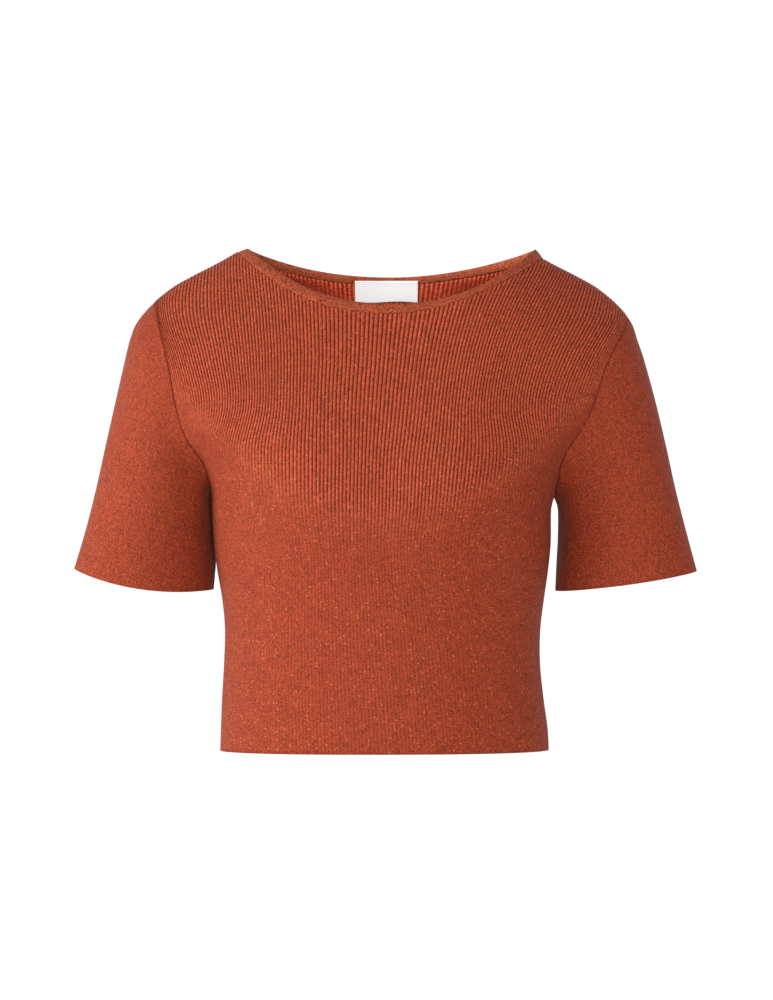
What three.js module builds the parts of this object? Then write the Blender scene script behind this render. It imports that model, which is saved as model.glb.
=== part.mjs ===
// A short-sleeved cropped top in rib knit, filled out as it is worn, hollow and with no wearer.
// Millimetres, +Z up. The front faces -Y, and left and right are the wearer's, so the left side is at +X.
// The origin is midway between the two high points of the neck, where shoulders carry the top.
import * as THREE from "three";

// Driving dimensions
const wallThickness = 2;
const seamGap = 0.3;
const underarmHeight = -207;
const hemHeights = { right: -417.7, left: -417.1 };
const hemRiseAtFront = 3.8;
const shoulderRounding = 85;
const ribsPerPanel = 132;
const ribRidge = 0.6;
const ribGroove = -0.35;
const stepsPerColumn = 6;
const sectionSteps = 32;
const armholeTips = { right: -44, left: -58 };
const ribFade = { height: -246, rise: 92, out: 150, over: 34, atShoulder: 4 };
const neckband = { gap: 0.5, cornerGap: 1.5, lean: 0.945, outside: 0.9, inside: -2, samples: 28 };
const label = { from: -25.2, to: 28.4, top: -22.2, bottom: -40.8, inset: 2.4, thickness: 1, columns: 10 };

// The body's depth in front of and behind the side seams, and how square its section is.
const torso = [
  { height: 10, front: 44, back: 46, squareness: 2.5 },
  { height: -50, front: 64, back: 71, squareness: 2.5 },
  { height: -100, front: 86, back: 89, squareness: 2.5 },
  { height: -150, front: 105, back: 95, squareness: 2.4 },
  { height: -195, front: 115, back: 92, squareness: 2.35 },
  { height: -245, front: 109, back: 83, squareness: 2.3 },
  { height: -300, front: 98, back: 75, squareness: 2.25 },
  { height: -345, front: 94, back: 75, squareness: 2.25 },
  { height: -420, front: 98, back: 84, squareness: 2.25 },
];

// How far the side seams stand out, from the underarm down to the hem.
const sideSeams = [
  { height: -207, right: 143.4, left: 141 },
  { height: -216, right: 143.2, left: 138.4 },
  { height: -245, right: 141.6, left: 138 },
  { height: -267, right: 138.8, left: 135.9 },
  { height: -292, right: 134.6, left: 132.4 },
  { height: -317, right: 132.4, left: 129.4 },
  { height: -345, right: 133.2, left: 129.2 },
  { height: -375, right: 134.9, left: 132.2 },
  { height: -400, right: 135.8, left: 135.6 },
  { height: -420, right: 136.5, left: 136.6 },
];

// The armhole seams: how far out they lie, and the body's depth there before the shoulder rounds it off.
const armholes = [
  { height: -207, right: 143.4, left: 141, depth: 0 },
  { height: -192, right: 145, left: 143, depth: 27 },
  { height: -179, right: 148, left: 144.8, depth: 40 },
  { height: -170, right: 154.2, left: 148.4, depth: 47 },
  { height: -160, right: 161, left: 154.6, depth: 53 },
  { height: -143, right: 167, left: 165, depth: 58 },
  { height: -120, right: 171.8, left: 173.8, depth: 60 },
  { height: -102, right: 175, left: 179.4, depth: 60 },
  { height: -86, right: 178.8, left: 187.2, depth: 58 },
  { height: -72, right: 182.6, left: 195.2, depth: 56 },
  { height: -58, right: 186, left: 201.2, depth: 53 },
  { height: -44, right: 189.7, left: 201.2, depth: 50 },
];

// The line along the top of the shoulders, carried on through the neck, by distance from the middle.
const shoulderLine = [
  { out: 0, height: 42 },
  { out: 60, height: 29 },
  { out: 100, height: 9.5 },
  { out: 116.5, height: 0 },
  { out: 136.5, height: -11.6 },
  { out: 156.5, height: -22 },
  { out: 173, height: -31 },
  { out: 184, height: -39 },
  { out: 192, height: -46 },
  { out: 200.5, height: -55.5 },
  { out: 209, height: -69 },
];

// The neck opening: its top edge, and the seam where the neckband meets the panels. Each of their
// curves drops so far below the neck points, and is so square towards the right and the left one.
const neckEdge = { right: -113.2, rightHeight: 0, left: 126, leftHeight: -0.6 };
const neckSeam = { right: -122.5, rightHeight: -3.7, left: 132.5, leftHeight: -9.2 };
const neckCurves = {
  front: { edge: { drop: 49.7, right: 2.4, left: 2.2 }, seam: { drop: 52.1, right: 2.5, left: 1.8 } },
  back: { edge: { drop: 20, right: 2.2, left: 1.83 }, seam: { drop: 20.3, right: 2.33, left: 1.45 } },
};

// The bust fullness that the knit is shaped to, on each side of the middle.
const fullness = { rise: 6, out: 74, height: -190, width: 48, tall: 60 };

// How the wales, the knitted columns, lie at each height: how far the middle ones stand over to the
// left and are spread apart, the same again for the ones between the middle and the sides, and the
// room that they would take to the right and to the left, against the half girth that there is.
const waleFlow = [
  [-15, 0.035, 0.028, -0.028, 0.024, 1.147, 1.177],
  [-55, 0.007, -0.043, -0.009, 0.033, 1.24, 1.178],
  [-95, -0.02, -0.021, 0.004, 0.026, 1.146, 1.103],
  [-135, -0.041, 0.026, 0.005, 0.017, 1.015, 0.996],
  [-175, -0.069, -0.005, 0.025, -0.007, 1.146, 1.192],
  [-215, -0.064, -0.051, 0.019, 0.002, 1.051, 1.047],
  [-255, -0.06, -0.059, 0.011, 0.005, 1.03, 1.03],
  [-330, -0.018, 0.03, -0.014, -0.011, 1.03, 1.03],
  [-420, 0, 0.03, 0, 0, 1, 1],
].map(([height, shift, spread, sideShift, sideSpread, right, left]) => (
  { height, shift, spread, sideShift, sideSpread, right, left }
));

// The outer line of each sleeve, from the shoulder to its hem, and the inner line below the underarm.
const sleeveOuter = [
  { height: -44, right: 189.7, left: 189.7 },
  { height: -52.3, right: 198, left: 198 },
  { height: -63, right: 206.2, left: 205.6 },
  { height: -76, right: 211.3, left: 209.9 },
  { height: -90, right: 214.8, left: 214.8 },
  { height: -125, right: 222.8, left: 224.5 },
  { height: -163, right: 231.4, left: 233.6 },
  { height: -201, right: 239.8, left: 242 },
  { height: -234, right: 248.2, left: 250.4 },
  { height: -269, right: 258.6, left: 259.8 },
];
const sleeveInner = [
  { height: -207, right: 144, left: 141.6 },
  { height: -209, right: 144.4, left: 142.2 },
  { height: -213, right: 144.2, left: 144 },
  { height: -219, right: 143.8, left: 145.2 },
  { height: -240, right: 142, left: 145.4 },
  { height: -259, right: 141.2, left: 144.4 },
  { height: -286, right: 142.8, left: 142.6 },
];
const sleeveHems = {
  right: { outer: -266.3, inner: -284.2, frontSag: 7.2, backSag: 3 },
  left: { outer: -268.5, inner: -285.3, frontSag: 1.8, backSag: 1 },
};
// A sleeve's depth in front and behind, and how far the side next to the body is turned back.
const sleeveDepths = [
  { share: 0, front: 60, back: 60, turn: 0 },
  { share: 0.12, front: 60.4, back: 60.7, turn: 9 },
  { share: 0.4, front: 61, back: 62, turn: 20 },
  { share: 0.7, front: 57.5, back: 59, turn: 20 },
  { share: 1, front: 53, back: 55, turn: 12 },
];

// Rows of points, from the hem to the underarm and from there to the shoulder and neck.
const lowerRows = [0, 0.23, 0.46, 0.65, 0.8, 0.9];
const plainRowCount = 5;
const upperRows = [0, 0.15, 0.32, 0.52, 0.72, 0.87, 0.96, 1];
const sleeveShares = [0, 0.05, 0.12, 0.21, 0.33, 0.47, 0.62, 0.76, 0.89, 1];

const knitMaterial = new THREE.MeshStandardMaterial({ color: 0xa84a30, roughness: 0.78, metalness: 0 });
const bandMaterial = new THREE.MeshStandardMaterial({ color: 0xa9503a, roughness: 0.8, metalness: 0 });
const labelMaterial = new THREE.MeshStandardMaterial({ color: 0xe6e6e8, roughness: 0.55, metalness: 0 });

const sides = { front: { name: "front", facing: -1 }, back: { name: "back", facing: 1 } };
const clamp = (value, low, high) => Math.min(high, Math.max(low, value));
const mix = (a, b, share) => a + (b - a) * share;

// Reads one column of a table at a place between its rows, on a smooth curve through them.
function read(table, key, column, at) {
  const rising = table[1][key] > table[0][key] ? 1 : -1;
  let i = 0;
  while (i < table.length - 2 && rising * (at - table[i + 1][key]) > 0) i += 1;
  const slope = (a, b) => {
    const low = table[clamp(a, 0, table.length - 1)];
    const high = table[clamp(b, 0, table.length - 1)];
    return (high[column] - low[column]) / (high[key] - low[key]);
  };
  const span = table[i + 1][key] - table[i][key];
  const t = clamp((at - table[i][key]) / span, 0, 1);
  const startSlope = slope(i - 1, i + 1) * span;
  const endSlope = slope(i, i + 2) * span;
  const rise = table[i + 1][column] - table[i][column];
  const bend = t * t * (3 - 2 * t);
  return table[i][column] + rise * bend + startSlope * t * (1 - t) ** 2 - endSlope * t * t * (1 - t);
}

// How far out the seam at the side lies at a height: side seam below the underarm, armhole above it.
function seamOut(x, height) {
  const hand = x < 0 ? "right" : "left";
  if (height <= underarmHeight) return read(sideSeams, "height", hand, height);
  return read(armholes, "height", hand, height);
}

// The half-width at which the body's section would close, were it not cut by the armhole.
function closingWidth(side, x, height) {
  const out = seamOut(x, height);
  if (height <= underarmHeight) return out;
  const middle = read(torso, "height", side.name, height);
  const power = read(torso, "height", "squareness", height);
  const depth = Math.min(read(armholes, "height", "depth", height), 0.93 * middle);
  return out / (1 - (depth / middle) ** power) ** (1 / power);
}

// The section's depth at x, before the shoulder rounds it off.
function sectionDepth(side, x, height) {
  const power = read(torso, "height", "squareness", height);
  const share = Math.min(1, Math.abs(x) / closingWidth(side, x, height));
  let depth = read(torso, "height", side.name, height) * (1 - share ** power) ** (1 / power);
  if (side === sides.front) {
    const across = (Math.abs(x) - fullness.out) / fullness.width;
    const along = (height - fullness.height) / fullness.tall;
    depth += fullness.rise * Math.exp(-across * across - along * along) * (1 - share ** 4);
  }
  return depth;
}

function surfacePoint(side, x, height) {
  const below = (read(shoulderLine, "out", "height", Math.abs(x)) - height) / shoulderRounding;
  const t = clamp(below, 0, 1);
  const depth = sectionDepth(side, x, height) * Math.sqrt(t * (2 - t));
  return new THREE.Vector3(x, side.facing * (depth + seamGap / 2), height);
}

// The outward direction of the cloth. At the side and shoulder seams it has no forward part.
function surfaceNormal(side, x, height) {
  const step = 0.4;
  const onSeam = Math.abs(surfacePoint(side, x, height).y) < seamGap;
  const middleward = x > 0 ? -step : step;
  const start = surfacePoint(side, x, height);
  const across = surfacePoint(side, x + middleward, height).sub(start);
  const down = surfacePoint(side, x, height - step).sub(start);
  const normal = across.cross(down).normalize();
  if (normal.y * side.facing < 0) normal.negate();
  if (onSeam) {
    const steepness = height > underarmHeight + 1 ? 0.5 : 1;
    normal.set(steepness * Math.sign(x), 0, Math.sqrt(1 - steepness * steepness));
  }
  return normal;
}

// The section's outline from seam to seam: points across, and the length up to each and to the middle.
function sectionLine(side, height) {
  const low = -seamOut(-1, Math.min(height, armholeTips.right));
  const high = seamOut(1, Math.min(height, armholeTips.left));
  const xs = [];
  const lengths = [0];
  for (let i = 0; i <= sectionSteps; i += 1) {
    const angle = mix(-Math.PI / 2, Math.PI / 2, i / sectionSteps);
    xs.push(mix(low, high, (1 + Math.sin(angle)) / 2));
    if (i === 0) continue;
    const level = Math.min(height, armholeTips.left);
    const rise = sectionDepth(side, xs[i], level) - sectionDepth(side, xs[i - 1], level);
    lengths.push(lengths[i - 1] + Math.hypot(xs[i] - xs[i - 1], rise));
  }
  return { xs, lengths, middle: lengthAt(xs, lengths, 0) };
}

// The x of a wale, from -1 at the right to 1 at the left, at a height. Its place is measured along
// the section from the middle. The outermost wales are crowded together where the armhole comes in.
function waleX(side, wale, height) {
  const { xs, lengths, middle } = sectionLine(side, height);
  const flow = (column) => read(waleFlow, "height", column, height);
  const nearMiddle = side === sides.front ? 1 - wale * wale : 0;
  const place = wale
    + nearMiddle * (flow("shift") + flow("sideShift") * Math.cos(Math.PI * wale))
    + flow("spread") * Math.sin(Math.PI * wale)
    + flow("sideSpread") * Math.sin(2 * Math.PI * wale);
  const reach = place < 0 ? middle : lengths[sectionSteps] - middle;
  const room = flow(place < 0 ? "right" : "left");
  const crowding = Math.abs(place) ** 5;
  const share = crowding + room * (Math.abs(place) - crowding);
  return lengthAt(lengths, xs, middle + Math.sign(place) * reach * share);
}

// Reads the second list at a place in the first, which rises.
function lengthAt(places, values, at) {
  let i = 0;
  while (i < places.length - 2 && places[i + 1] < at) i += 1;
  return mix(values[i], values[i + 1], (at - places[i]) / (places[i + 1] - places[i]));
}

// A curve of the neck opening, seen from the front: the top edge or the seam under the band.
function neckHeight(side, ends, which, x) {
  const across = (2 * (x - ends.right)) / (ends.left - ends.right) - 1;
  const curve = neckCurves[side.name][which];
  const dip = curve.drop * (1 - Math.abs(across) ** (across < 0 ? curve.right : curve.left));
  return mix(ends.rightHeight, ends.leftHeight, (1 + across) / 2) - dip;
}

// Where a panel ends at x: at the neck seam between the neck points, and on the shoulder outside them.
function panelTop(side, x) {
  if (x > neckSeam.right && x < neckSeam.left) return neckHeight(side, neckSeam, "seam", x);
  return read(shoulderLine, "out", "height", Math.abs(x));
}

function waleTop(side, wale) {
  let height = -50;
  for (let turn = 0; turn < 12; turn += 1) height = panelTop(side, waleX(side, wale, height));
  return height;
}

function hemAt(side, wale) {
  const rise = side === sides.front ? hemRiseAtFront * (1 - wale * wale) : 0;
  return mix(hemHeights.right, hemHeights.left, (1 + wale) / 2) + rise;
}

// How far the ribs stand open: full on the chest, closing to nothing at the sides, under the bust
// and at the shoulder seams.
function ribOpenness(x, height) {
  const closeHeight = ribFade.height + ribFade.rise * (x / ribFade.out) ** 2;
  const fromBust = clamp((height - closeHeight) / ribFade.over, 0, 1);
  const shoulder = read(shoulderLine, "out", "height", Math.abs(x));
  const fromShoulder = clamp((shoulder - height) / ribFade.atShoulder, 0, 1);
  return Math.min(fromBust, fromShoulder);
}

// A closed body put together from rows of points that are zipped to each other.
class ClothSolid {
  constructor() {
    this.points = [];
    this.triangles = [];
  }

  addRow(points, places) {
    const first = this.points.length;
    this.points.push(...points);
    return points.map((_, i) => ({ index: first + i, place: places ? places[i] : i }));
  }

  // Fills between two open rows. Seen from outside, the second row lies above the first.
  zip(lower, upper) {
    let i = 0;
    let j = 0;
    while (i < lower.length - 1 || j < upper.length - 1) {
      const lowerNext = i < lower.length - 1 ? lower[i + 1].place : Infinity;
      const upperNext = j < upper.length - 1 ? upper[j + 1].place : Infinity;
      if (lowerNext <= upperNext) {
        this.triangles.push(lower[i].index, lower[i + 1].index, upper[j].index);
        i += 1;
      } else {
        this.triangles.push(lower[i].index, upper[j + 1].index, upper[j].index);
        j += 1;
      }
    }
  }

  // The same for two closed rings with as many points each.
  zipRings(lower, upper) {
    const closed = (ring) => [...ring, { ...ring[0], place: ring.length }];
    this.zip(closed(lower), closed(upper));
  }

  mesh(name, material) {
    const geometry = new THREE.BufferGeometry();
    const flat = this.points.flatMap((point) => point.toArray());
    geometry.setAttribute("position", new THREE.Float32BufferAttribute(flat, 3));
    geometry.setIndex(this.triangles);
    geometry.computeVertexNormals();
    const mesh = new THREE.Mesh(geometry, material);
    mesh.name = name;
    return mesh;
  }
}

// One point of a panel's wall: moved out from the middle of the cloth by so many millimetres.
function clothPoint(side, x, height, outwards) {
  return surfacePoint(side, x, height).addScaledVector(surfaceNormal(side, x, height), outwards);
}

// The wales that bound the ribs and their grooves, from -1 to 1.
const fineWales = Array.from({ length: 2 * ribsPerPanel + 1 }, (_, i) => -1 + i / ribsPerPanel);

// The fewer ones that carry the plain inside. They are closer at the neck points, where the edge of
// the cloth turns sharply.
function coarseWalesOf(side, turned) {
  const tops = fineWales.map((wale) => waleX(side, turned * wale, waleTop(side, turned * wale)));
  const nearest = (x) => {
    const distances = tops.map((top) => Math.abs(top - x));
    return distances.indexOf(Math.min(...distances));
  };
  const neckPoints = [nearest(neckSeam.right), nearest(neckSeam.left)];
  return fineWales.filter((_, i) => {
    const steps = Math.min(...neckPoints.map((point) => Math.abs(point - i)));
    return i % stepsPerColumn === 0 || steps < 2 || (steps < 7 && i % 2 === 0);
  });
}

function panelHeights(side, wale) {
  const hem = hemAt(side, wale);
  const lower = lowerRows.map((share) => mix(hem, underarmHeight, share));
  const top = waleTop(side, wale);
  return [...lower, ...upperRows.map((share) => mix(underarmHeight, top, share))];
}

// A panel of the body: ribs raised in its outer points, over a plain inside.
function makePanel(side) {
  const solid = new ClothSolid();
  const turned = side === sides.front ? 1 : -1;
  const rowCount = lowerRows.length + upperRows.length;
  const coarseWales = coarseWalesOf(side, turned);
  const coarseHeights = coarseWales.map((wale) => panelHeights(side, turned * wale));
  const fineHeights = fineWales.map((wale) => panelHeights(side, turned * wale));
  const outer = [];
  const inner = [];
  for (let row = 0; row < rowCount; row += 1) {
    const ribbed = row >= plainRowCount;
    const wales = ribbed ? fineWales : coarseWales;
    const heights = ribbed ? fineHeights : coarseHeights;
    const outerPoints = wales.map((wale, i) => {
      const height = heights[i][row];
      const x = waleX(side, turned * wale, height);
      const open = ribbed ? ribOpenness(x, height) : 0;
      return clothPoint(side, x, height, open * (i % 2 ? ribRidge : ribGroove));
    });
    const innerPoints = coarseWales.map((wale, i) => {
      const height = coarseHeights[i][row];
      return clothPoint(side, waleX(side, turned * wale, height), height, -wallThickness);
    });
    outer.push(solid.addRow(outerPoints, wales));
    inner.push(solid.addRow(innerPoints, coarseWales));
  }
  for (let row = 1; row < rowCount; row += 1) {
    solid.zip(outer[row - 1], outer[row]);
    solid.zip(inner[row], inner[row - 1]);
  }
  const column = (rows, end) => rows.map((row, place) => ({ index: row.at(end).index, place }));
  solid.zip(inner[0], outer[0]);
  solid.zip(outer[rowCount - 1], inner[rowCount - 1]);
  solid.zip(column(outer, 0), column(inner, 0));
  solid.zip(column(inner, -1), column(outer, -1));
  return solid.mesh(side.name, knitMaterial);
}

// The armhole's edge on one side, from the shoulder down the front and up the back, at the panel's
// own rows and halfway between them.
function armholeRing(hand) {
  const wale = hand === "right" ? -1 : 1;
  const along = (side) => {
    const heights = panelHeights(side, wale).slice(lowerRows.length);
    return heights.map((height) => {
      const x = waleX(side, wale, height);
      return { point: surfacePoint(side, x, height), normal: surfaceNormal(side, x, height) };
    });
  };
  const halved = (list) => list.flatMap((entry, i) => {
    if (i === 0) return [entry];
    const point = list[i - 1].point.clone().lerp(entry.point, 0.5);
    const normal = list[i - 1].normal.clone().lerp(entry.normal, 0.5).normalize();
    return [{ point, normal }, entry];
  });
  const front = halved(along(sides.front).reverse());
  const back = halved(along(sides.back));
  return [...front, ...back.slice(1, -1)];
}

// A set-in sleeve. Its rings run from the armhole's edge to the hem of the sleeve.
function makeSleeve(hand) {
  const sign = hand === "right" ? -1 : 1;
  const ring = armholeRing(hand);
  const hem = sleeveHems[hand];
  const tip = ring[0].point.z;
  const angles = ring.map(({ point }) => {
    const share = clamp((point.z - underarmHeight) / (tip - underarmHeight), 0, 1);
    const angle = Math.acos(2 * share - 1);
    return point.y > 0 ? -angle : angle;
  });
  const ellipsePoint = (angle, share) => {
    const outerHeight = mix(tip, hem.outer, share);
    const innerHeight = mix(underarmHeight, hem.inner, share);
    const outer = read(sleeveOuter, "height", hand, outerHeight);
    const inner = read(sleeveInner, "height", hand, innerHeight);
    const front = Math.sin(angle) > 0;
    const depth = read(sleeveDepths, "share", front ? "front" : "back", share);
    const sag = (front ? hem.frontSag : hem.backSag) * share * Math.sin(angle) ** 2;
    const between = (1 + Math.cos(angle)) / 2;
    const height = mix(innerHeight, outerHeight, between) - sag;
    const turn = read(sleeveDepths, "share", "turn", share) * (1 - between);
    return new THREE.Vector3(sign * mix(inner, outer, between), turn - depth * Math.sin(angle), height);
  };
  const away = new THREE.Vector3(sign * 0.8, 0, -0.2);
  const edge = ring.map(({ point }, i) => {
    const underarm = (1 - Math.cos(angles[i])) / 2;
    return point.clone().addScaledVector(away, mix(seamGap + 0.1, 0.6, underarm ** 4));
  });
  const middle = (i, share) => {
    const fade = clamp(1 - share / 0.55, 0, 1) ** 2;
    const offset = edge[i].clone().sub(ellipsePoint(angles[i], 0));
    return ellipsePoint(angles[i], share).addScaledVector(offset, fade);
  };
  const grid = sleeveShares.map((share) => ring.map((_, i) => middle(i, share)));
  const count = ring.length;
  const normalAt = (row, i) => {
    const around = grid[row][(i + 1) % count].clone().sub(grid[row][(i + count - 1) % count]);
    const lower = grid[Math.min(row + 1, grid.length - 1)][i];
    const along = lower.clone().sub(grid[Math.max(row - 1, 0)][i]);
    const normal = around.cross(along).normalize().multiplyScalar(sign);
    if (row > 0) return normal;
    const underarm = ((1 - Math.cos(angles[i])) / 2) ** 2;
    return ring[i].normal.clone().lerp(normal, underarm).normalize();
  };
  const solid = new ClothSolid();
  const outer = grid.map((points) => solid.addRow(points));
  const inner = grid.map((points, row) =>
    solid.addRow(points.map((point, i) => point.clone().addScaledVector(normalAt(row, i), -wallThickness))),
  );
  const join = (first, second) => {
    if (sign > 0) solid.zipRings(first, second);
    else solid.zipRings(second, first);
  };
  for (let row = 1; row < grid.length; row += 1) {
    join(outer[row - 1], outer[row]);
    join(inner[row], inner[row - 1]);
  }
  join(inner[0], outer[0]);
  join(outer.at(-1), inner.at(-1));
  return solid.mesh(`sleeve_${hand}`, knitMaterial);
}

// The binding of the neck: one closed strip with rounded edges, which goes on where the panels end.
function makeNeckband() {
  const along = (side, from, to) =>
    Array.from({ length: neckband.samples }, (_, i) => {
      const share = (1 - Math.cos((Math.PI * i) / neckband.samples)) / 2;
      const place = mix(from, to, share);
      const seamX = mix(neckSeam.right, neckSeam.left, place);
      const edgeX = mix(neckEdge.right, neckEdge.left, place);
      const seam = surfacePoint(side, seamX, neckHeight(side, neckSeam, "seam", seamX));
      const edgeHeight = neckHeight(side, neckEdge, "edge", edgeX);
      const edge = new THREE.Vector3(edgeX, seam.y * neckband.lean, edgeHeight);
      const gap = mix(neckband.gap, neckband.cornerGap, Math.abs(2 * place - 1) ** 6);
      seam.addScaledVector(edge.clone().sub(seam).normalize(), gap);
      return { seam, edge };
    });
  const ring = [...along(sides.front, 0, 1), ...along(sides.back, 1, 0)];
  const count = ring.length;
  const { outside, inside } = neckband;
  const section = [
    { up: 0, out: inside + 0.3 },
    { up: 0, out: outside - 0.3 },
    { up: 0.2, out: outside },
    { up: 0.75, out: outside },
    { up: 1, out: mix(inside, outside, 0.7) },
    { up: 1, out: mix(inside, outside, 0.3) },
    { up: 0.75, out: inside },
    { up: 0.2, out: inside },
  ];
  const normals = ring.map(({ seam, edge }, i) => {
    const around = ring[(i + 1) % count].edge.clone().sub(ring[(i + count - 1) % count].edge);
    return around.cross(edge.clone().sub(seam)).normalize();
  });
  const solid = new ClothSolid();
  const strands = section.map(({ up, out }) =>
    solid.addRow(ring.map(({ seam, edge }, i) => (
      seam.clone().lerp(edge, up).addScaledVector(normals[i], out)
    ))),
  );
  strands.forEach((strand, i) => solid.zipRings(strand, strands[(i + 1) % strands.length]));
  return solid.mesh("neckband", bandMaterial);
}

// The woven label, sewn inside the back at the foot of the neckband.
function makeLabel() {
  const solid = new ClothSolid();
  const { from, to, columns } = label;
  const xs = Array.from({ length: columns + 1 }, (_, i) => mix(to, from, i / columns));
  const line = (height, inwards) => solid.addRow(xs.map((x) => clothPoint(sides.back, x, height, -inwards)));
  const far = label.inset + label.thickness;
  const middle = mix(label.top, label.bottom, 0.5);
  const heights = [label.bottom, middle, label.top];
  const outer = heights.map((height) => line(height, label.inset));
  const inner = heights.map((height) => line(height, far));
  const column = (rows, end) => rows.map((row, place) => ({ index: row.at(end).index, place }));
  for (let row = 1; row < heights.length; row += 1) {
    solid.zip(outer[row - 1], outer[row]);
    solid.zip(inner[row], inner[row - 1]);
  }
  solid.zip(inner[0], outer[0]);
  solid.zip(outer.at(-1), inner.at(-1));
  solid.zip(column(outer, 0), column(inner, 0));
  solid.zip(column(inner, -1), column(outer, -1));
  return solid.mesh("label", labelMaterial);
}

const top = new THREE.Group();
top.add(makePanel(sides.front));
top.add(makePanel(sides.back));
top.add(makeSleeve("right"));
top.add(makeSleeve("left"));
top.add(makeNeckband());
top.add(makeLabel());

export default top;
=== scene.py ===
# Cropped rib-knit top with short sleeves and a wide scoop neck, hollow and filled out as it is worn.
# The shape is drafted in millimetres and set down in metres. The front faces -Y, the wearer's left is +X.
import bpy
import math
import numpy as np
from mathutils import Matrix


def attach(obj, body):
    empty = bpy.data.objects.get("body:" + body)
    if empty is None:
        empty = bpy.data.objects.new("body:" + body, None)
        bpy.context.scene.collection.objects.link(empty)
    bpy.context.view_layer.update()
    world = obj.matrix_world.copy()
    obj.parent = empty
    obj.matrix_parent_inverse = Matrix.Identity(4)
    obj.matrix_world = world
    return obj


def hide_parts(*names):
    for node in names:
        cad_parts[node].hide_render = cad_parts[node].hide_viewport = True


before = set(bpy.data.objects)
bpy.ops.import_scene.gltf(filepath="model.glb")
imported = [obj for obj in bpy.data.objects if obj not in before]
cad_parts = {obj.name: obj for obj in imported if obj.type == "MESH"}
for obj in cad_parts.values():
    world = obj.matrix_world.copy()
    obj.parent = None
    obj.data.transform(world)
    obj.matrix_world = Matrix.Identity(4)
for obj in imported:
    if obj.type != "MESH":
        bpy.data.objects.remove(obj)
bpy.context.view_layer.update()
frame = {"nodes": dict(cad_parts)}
mm = 0.001
mergeDistance = 0.02 * mm
print("frame loaded:", ", ".join(frame["nodes"]))

# Camera, at the photograph's eye: level, square to the front, 2.6 m away
cameraSetup = {"x": 0.0017, "distance": 2.6, "z": -0.2096, "frameHeight": 0.8317, "sensor": 36}
bpy.ops.object.camera_add(
    location=(cameraSetup["x"], -cameraSetup["distance"], cameraSetup["z"]),
    rotation=(math.radians(90), 0, 0),
)
camera = bpy.context.object
camera.data.sensor_width = cameraSetup["sensor"]
camera.data.lens = cameraSetup["sensor"] * cameraSetup["distance"] / cameraSetup["frameHeight"]
bpy.context.scene.camera = camera
print("camera set")

# The body of the top: how deep it is before and behind the side seams, and how square
torso = [
    {"z": 10, "front": 44, "back": 46, "square": 2.5},
    {"z": -50, "front": 64, "back": 71, "square": 2.5},
    {"z": -100, "front": 86, "back": 89, "square": 2.5},
    {"z": -150, "front": 105, "back": 95, "square": 2.4},
    {"z": -195, "front": 115, "back": 92, "square": 2.35},
    {"z": -245, "front": 109, "back": 83, "square": 2.3},
    {"z": -300, "front": 98, "back": 75, "square": 2.25},
    {"z": -345, "front": 94, "back": 75, "square": 2.25},
    {"z": -420, "front": 98, "back": 84, "square": 2.25},
]
# How far out the side seams stand, from the underarm to the hem
sideSeams = [
    {"z": -207, "right": 143.4, "left": 141},
    {"z": -216, "right": 143.2, "left": 138.4},
    {"z": -245, "right": 141.6, "left": 138},
    {"z": -267, "right": 138.8, "left": 135.9},
    {"z": -292, "right": 134.6, "left": 132.4},
    {"z": -317, "right": 132.4, "left": 129.4},
    {"z": -345, "right": 133.2, "left": 129.2},
    {"z": -375, "right": 134.9, "left": 132.2},
    {"z": -400, "right": 135.8, "left": 135.6},
    {"z": -420, "right": 136.5, "left": 136.6},
]
# The armhole seams, and how deep the body is at them
armholes = [
    {"z": -207, "right": 143.4, "left": 141, "depth": 0},
    {"z": -192, "right": 145, "left": 143, "depth": 27},
    {"z": -179, "right": 148, "left": 144.8, "depth": 40},
    {"z": -170, "right": 154.2, "left": 148.4, "depth": 47},
    {"z": -160, "right": 161, "left": 154.6, "depth": 53},
    {"z": -143, "right": 167, "left": 165, "depth": 58},
    {"z": -120, "right": 171.8, "left": 173.8, "depth": 60},
    {"z": -102, "right": 175, "left": 179.4, "depth": 60},
    {"z": -86, "right": 178.8, "left": 187.2, "depth": 58},
    {"z": -72, "right": 182.6, "left": 195.2, "depth": 56},
    {"z": -58, "right": 186, "left": 201.2, "depth": 53},
    {"z": -44, "right": 189.7, "left": 201.2, "depth": 50},
]
# The line along the top of the shoulders, carried on through the neck
shoulderLine = [
    {"out": 0, "z": 42},
    {"out": 60, "z": 29},
    {"out": 100, "z": 9.5},
    {"out": 116.5, "z": 0},
    {"out": 136.5, "z": -11.6},
    {"out": 156.5, "z": -22},
    {"out": 173, "z": -31},
    {"out": 184, "z": -39},
    {"out": 192, "z": -46},
    {"out": 200.5, "z": -55.5},
    {"out": 209, "z": -69},
]
body = {
    "underarm": -207,
    "hemRight": -417.7,
    "hemLeft": -417.1,
    "hemRise": 3.8,             # the front hem's middle stands this much higher than its ends
    "armholeDeepest": 0.93,     # share of the middle's depth that an armhole can have
    "shoulderRound": 85,        # the shoulder rounds off over this height
    "seamGap": 0.3,
    "tipRight": -44,
    "tipLeft": -58,
    "bustRise": 6,
    "bustOut": 74,
    "bustZ": -190,
    "bustWide": 48,
    "bustTall": 60,
}
# The seam under the neckband and the neck's top edge; each curve's dip has its own roundness
neckSeam = {
    "right": -122.5,
    "rightZ": -3.7,
    "left": 132.5,
    "leftZ": -9.2,
    "front": {"drop": 52.1, "right": 2.5, "left": 1.8},
    "back": {"drop": 20.3, "right": 2.33, "left": 1.45},
}
neckEdge = {
    "right": -113.2,
    "rightZ": 0,
    "left": 126,
    "leftZ": -0.6,
    "front": {"drop": 49.7, "right": 2.4, "left": 2.2},
    "back": {"drop": 20, "right": 2.2, "left": 1.83},
}


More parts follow.
